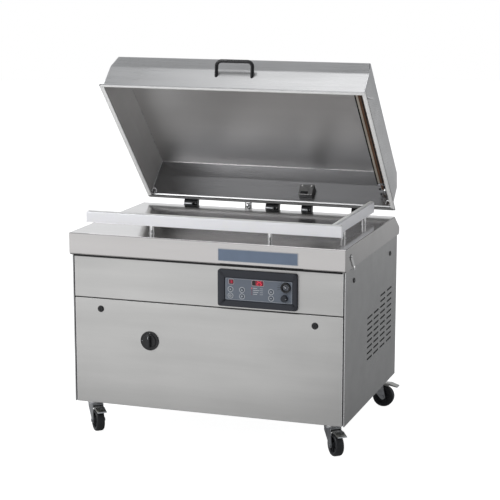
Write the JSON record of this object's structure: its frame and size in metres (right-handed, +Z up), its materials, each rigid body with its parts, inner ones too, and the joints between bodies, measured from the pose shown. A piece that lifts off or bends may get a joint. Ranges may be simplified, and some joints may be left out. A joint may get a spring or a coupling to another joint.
{
  "type": "vacuum packing machine",
  "caption": "Floor-standing chamber vacuum packer on swivel casters: steel cabinet, polished deck with L-shaped counter bars, hinged hood lid, control panel and switch.",
  "frame": {"origin": "On the floor, under the middle of the bounding box with the lid open.", "axes": "+Z up, +X to the right of the person standing at the controls, +Y towards the back of the machine."},
  "size_m": [1.054, 0.8211, 1.3131],
  "materials": {
    "brushed_steel": "brushed stainless sheet",
    "polished_steel": "polished stainless",
    "anodised_aluminium": "satin anodised",
    "zinc": "zinc plated",
    "black_plastic": "satin black",
    "charcoal_plastic": "fine grain",
    "membrane": "satin film",
    "blue_label": "satin film",
    "white_plastic": "satin",
    "silicone": "matte silicone",
    "rubber": "matte",
    "ptfe_tape": "coated glass-cloth tape",
    "painted_pump": "semi-gloss paint",
    "varnished_windings": "varnished windings and laminated core"
  },
  "bodies": {
    "cabinet": {"base_frame": "zinc", "left_side_panel": "brushed_steel", "right_side_panel": "brushed_steel", "rear_panel": "brushed_steel", "front_lower_panel": "brushed_steel", "front_upper_panel": "brushed_steel", "deck_plate": "polished_steel", "vacuum_pump": "painted_pump", "seal_transformer": "varnished_windings", "cable_gland": "black_plastic", "control_bezel": "charcoal_plastic", "control_panel_plate": "membrane", "gauge_body": "black_plastic", "name_plate": "blue_label", "main_switch_plate": "black_plastic", "hinge_base_1": "black_plastic", "hinge_base_2": "black_plastic", "hinge_base_3": "black_plastic", "hinge_base_4": "black_plastic"},
    "lid": {"lid_shell": "brushed_steel", "lid_gasket": "silicone", "lid_handle": "black_plastic", "lid_port_block": "polished_steel", "front_seal_bar": "ptfe_tape", "right_seal_bar": "ptfe_tape", "hinge_leaf_1": "polished_steel", "hinge_leaf_2": "polished_steel", "hinge_leaf_3": "polished_steel", "hinge_leaf_4": "polished_steel", "gas_spring_lug": "polished_steel"},
    "front_bar": {"front_counter_bar": "anodised_aluminium", "front_silicone": "silicone"},
    "right_bar": {"right_counter_bar": "anodised_aluminium", "right_silicone": "silicone"},
    "gas_spring_tube": {"gas_spring_tube": "black_plastic"},
    "gas_spring_rod": {"gas_spring_rod": "polished_steel"},
    "main_switch": {"main_switch_knob": "black_plastic"},
    "soft_air_knob": {"soft_air_knob": "black_plastic"},
    "gauge_needle": {"gauge_needle": "black_plastic"},
    "key_1": {"key_1": "white_plastic"},
    "key_2": {"key_2": "white_plastic"},
    "key_3": {"key_3": "white_plastic"},
    "key_4": {"key_4": "white_plastic"},
    "key_5": {"key_5": "white_plastic"},
    "key_6": {"key_6": "white_plastic"},
    "panel_lock_left": {"panel_lock_left": "black_plastic"},
    "panel_lock_right": {"panel_lock_right": "black_plastic"},
    "transport_hook": {"transport_hook": "zinc"},
    "fork_front_left": {"caster_fork_front_left": "zinc"},
    "fork_front_right": {"caster_fork_front_right": "zinc"},
    "fork_rear_left": {"caster_fork_rear_left": "zinc"},
    "fork_rear_right": {"caster_fork_rear_right": "zinc"},
    "wheel_front_left": {"caster_wheel_front_left": "rubber"},
    "wheel_front_right": {"caster_wheel_front_right": "rubber"},
    "wheel_rear_left": {"caster_wheel_rear_left": "rubber"},
    "wheel_rear_right": {"caster_wheel_rear_right": "rubber"},
    "pedal_front_left": {"brake_pedal_front_left": "zinc"},
    "pedal_front_right": {"brake_pedal_front_right": "zinc"},
    "pedal_rear_left": {"brake_pedal_rear_left": "zinc"},
    "pedal_rear_right": {"brake_pedal_rear_right": "zinc"}
  },
  "joints": [
    {"name": "lid_hinge", "type": "hinge", "parent": "cabinet", "child": "lid", "pos_m": [0, 0.3125, 0.6942], "axis": [1, 0, 0], "range_deg": [0, 46.4]},
    {"name": "gas_spring_tilt", "type": "hinge", "parent": "cabinet", "child": "gas_spring_tube", "pos_m": [-0.083, 0.2163, 0.3], "axis": [1, 0, 0], "range_deg": [0, 3]},
    {"name": "gas_spring_stroke", "type": "slide", "parent": "gas_spring_tube", "child": "gas_spring_rod", "axis": [0, 0.2146, 0.9767], "range_m": [-0.0174, 0]},
    {"name": "front_bar_lift", "type": "slide", "parent": "cabinet", "child": "front_bar", "axis": [0, 0, 1], "range_m": [0, 0.008]},
    {"name": "right_bar_lift", "type": "slide", "parent": "cabinet", "child": "right_bar", "axis": [0, 0, 1], "range_m": [0, 0.008]},
    {"name": "main_switch_turn", "type": "hinge", "parent": "cabinet", "child": "main_switch", "pos_m": [-0.207, -0.3837, 0.3545], "axis": [0, 1, 0], "range_deg": [0, 90]},
    {"name": "soft_air_turn", "type": "hinge", "parent": "cabinet", "child": "soft_air_knob", "pos_m": [0.2863, -0.3837, 0.5438], "axis": [0, 1, 0], "range_deg": [-135, 135]},
    {"name": "gauge_needle_swing", "type": "hinge", "parent": "cabinet", "child": "gauge_needle", "pos_m": [0.2904, -0.3837, 0.581], "axis": [0, 1, 0], "range_deg": [0, 250], "stiffness_Nm_per_rad": 0.001},
    {"name": "key_1_press", "type": "slide", "parent": "cabinet", "child": "key_1", "axis": [0, 1, 0], "range_m": [0, 0.0008], "stiffness_N_per_m": 400},
    {"name": "key_2_press", "type": "slide", "parent": "cabinet", "child": "key_2", "axis": [0, 1, 0], "range_m": [0, 0.0008], "stiffness_N_per_m": 400},
    {"name": "key_3_press", "type": "slide", "parent": "cabinet", "child": "key_3", "axis": [0, 1, 0], "range_m": [0, 0.0008], "stiffness_N_per_m": 400},
    {"name": "key_4_press", "type": "slide", "parent": "cabinet", "child": "key_4", "axis": [0, 1, 0], "range_m": [0, 0.0008], "stiffness_N_per_m": 400},
    {"name": "key_5_press", "type": "slide", "parent": "cabinet", "child": "key_5", "axis": [0, 1, 0], "range_m": [0, 0.0008], "stiffness_N_per_m": 400},
    {"name": "key_6_press", "type": "slide", "parent": "cabinet", "child": "key_6", "axis": [0, 1, 0], "range_m": [0, 0.0008], "stiffness_N_per_m": 400},
    {"name": "panel_lock_left_turn", "type": "hinge", "parent": "cabinet", "child": "panel_lock_left", "pos_m": [-0.391, -0.3837, 0.4552], "axis": [0, 1, 0], "range_deg": [0, 90]},
    {"name": "panel_lock_right_turn", "type": "hinge", "parent": "cabinet", "child": "panel_lock_right", "pos_m": [0.391, -0.3837, 0.4552], "axis": [0, 1, 0], "range_deg": [0, 90]},
    {"name": "transport_hook_swing", "type": "hinge", "parent": "cabinet", "child": "transport_hook", "pos_m": [0.503, -0.3393, 0.6886], "axis": [1, 0, 0], "range_deg": [0, 126]},
    {"name": "fork_front_left_swivel", "type": "hinge", "parent": "cabinet", "child": "fork_front_left", "pos_m": [-0.441, -0.3337, 0.09], "axis": [0, 0, 1], "continuous": true},
    {"name": "fork_front_right_swivel", "type": "hinge", "parent": "cabinet", "child": "fork_front_right", "pos_m": [0.441, -0.3337, 0.09], "axis": [0, 0, 1], "continuous": true},
    {"name": "fork_rear_left_swivel", "type": "hinge", "parent": "cabinet", "child": "fork_rear_left", "pos_m": [-0.441, 0.2683, 0.09], "axis": [0, 0, 1], "continuous": true},
    {"name": "fork_rear_right_swivel", "type": "hinge", "parent": "cabinet", "child": "fork_rear_right", "pos_m": [0.441, 0.2683, 0.09], "axis": [0, 0, 1], "continuous": true},
    {"name": "wheel_front_left_roll", "type": "hinge", "parent": "fork_front_left", "child": "wheel_front_left", "pos_m": [-0.42172, -0.35668, 0.04], "axis": [0.766, 0.6428, 0], "continuous": true},
    {"name": "wheel_front_right_roll", "type": "hinge", "parent": "fork_front_right", "child": "wheel_front_right", "pos_m": [0.46028, -0.35668, 0.04], "axis": [0.766, 0.6428, 0], "continuous": true},
    {"name": "wheel_rear_left_roll", "type": "hinge", "parent": "fork_rear_left", "child": "wheel_rear_left", "pos_m": [-0.471, 0.2683, 0.04], "axis": [0, -1, 0], "continuous": true},
    {"name": "wheel_rear_right_roll", "type": "hinge", "parent": "fork_rear_right", "child": "wheel_rear_right", "pos_m": [0.471, 0.2683, 0.04], "axis": [0, 1, 0], "continuous": true},
    {"name": "pedal_front_left_press", "type": "hinge", "parent": "fork_front_left", "child": "pedal_front_left", "pos_m": [-0.441, -0.3337, 0.0885], "axis": [0.766, 0.6428, 0], "range_deg": [0, 5], "stiffness_Nm_per_rad": 20},
    {"name": "pedal_front_right_press", "type": "hinge", "parent": "fork_front_right", "child": "pedal_front_right", "pos_m": [0.441, -0.3337, 0.0885], "axis": [0.766, 0.6428, 0], "range_deg": [0, 5], "stiffness_Nm_per_rad": 20},
    {"name": "pedal_rear_left_press", "type": "hinge", "parent": "fork_rear_left", "child": "pedal_rear_left", "pos_m": [-0.441, 0.2683, 0.0885], "axis": [0, -1, 0], "range_deg": [0, 5], "stiffness_Nm_per_rad": 20},
    {"name": "pedal_rear_right_press", "type": "hinge", "parent": "fork_rear_right", "child": "pedal_rear_right", "pos_m": [0.441, 0.2683, 0.0885], "axis": [0, 1, 0], "range_deg": [0, 5], "stiffness_Nm_per_rad": 20}
  ],
  "couplings": [
    {"joint": "gas_spring_tilt", "follows": "lid_hinge", "ratio": 0.060648},
    {"joint": "gas_spring_stroke", "follows": "lid_hinge", "m_per_rad": -0.020241}
  ]
}
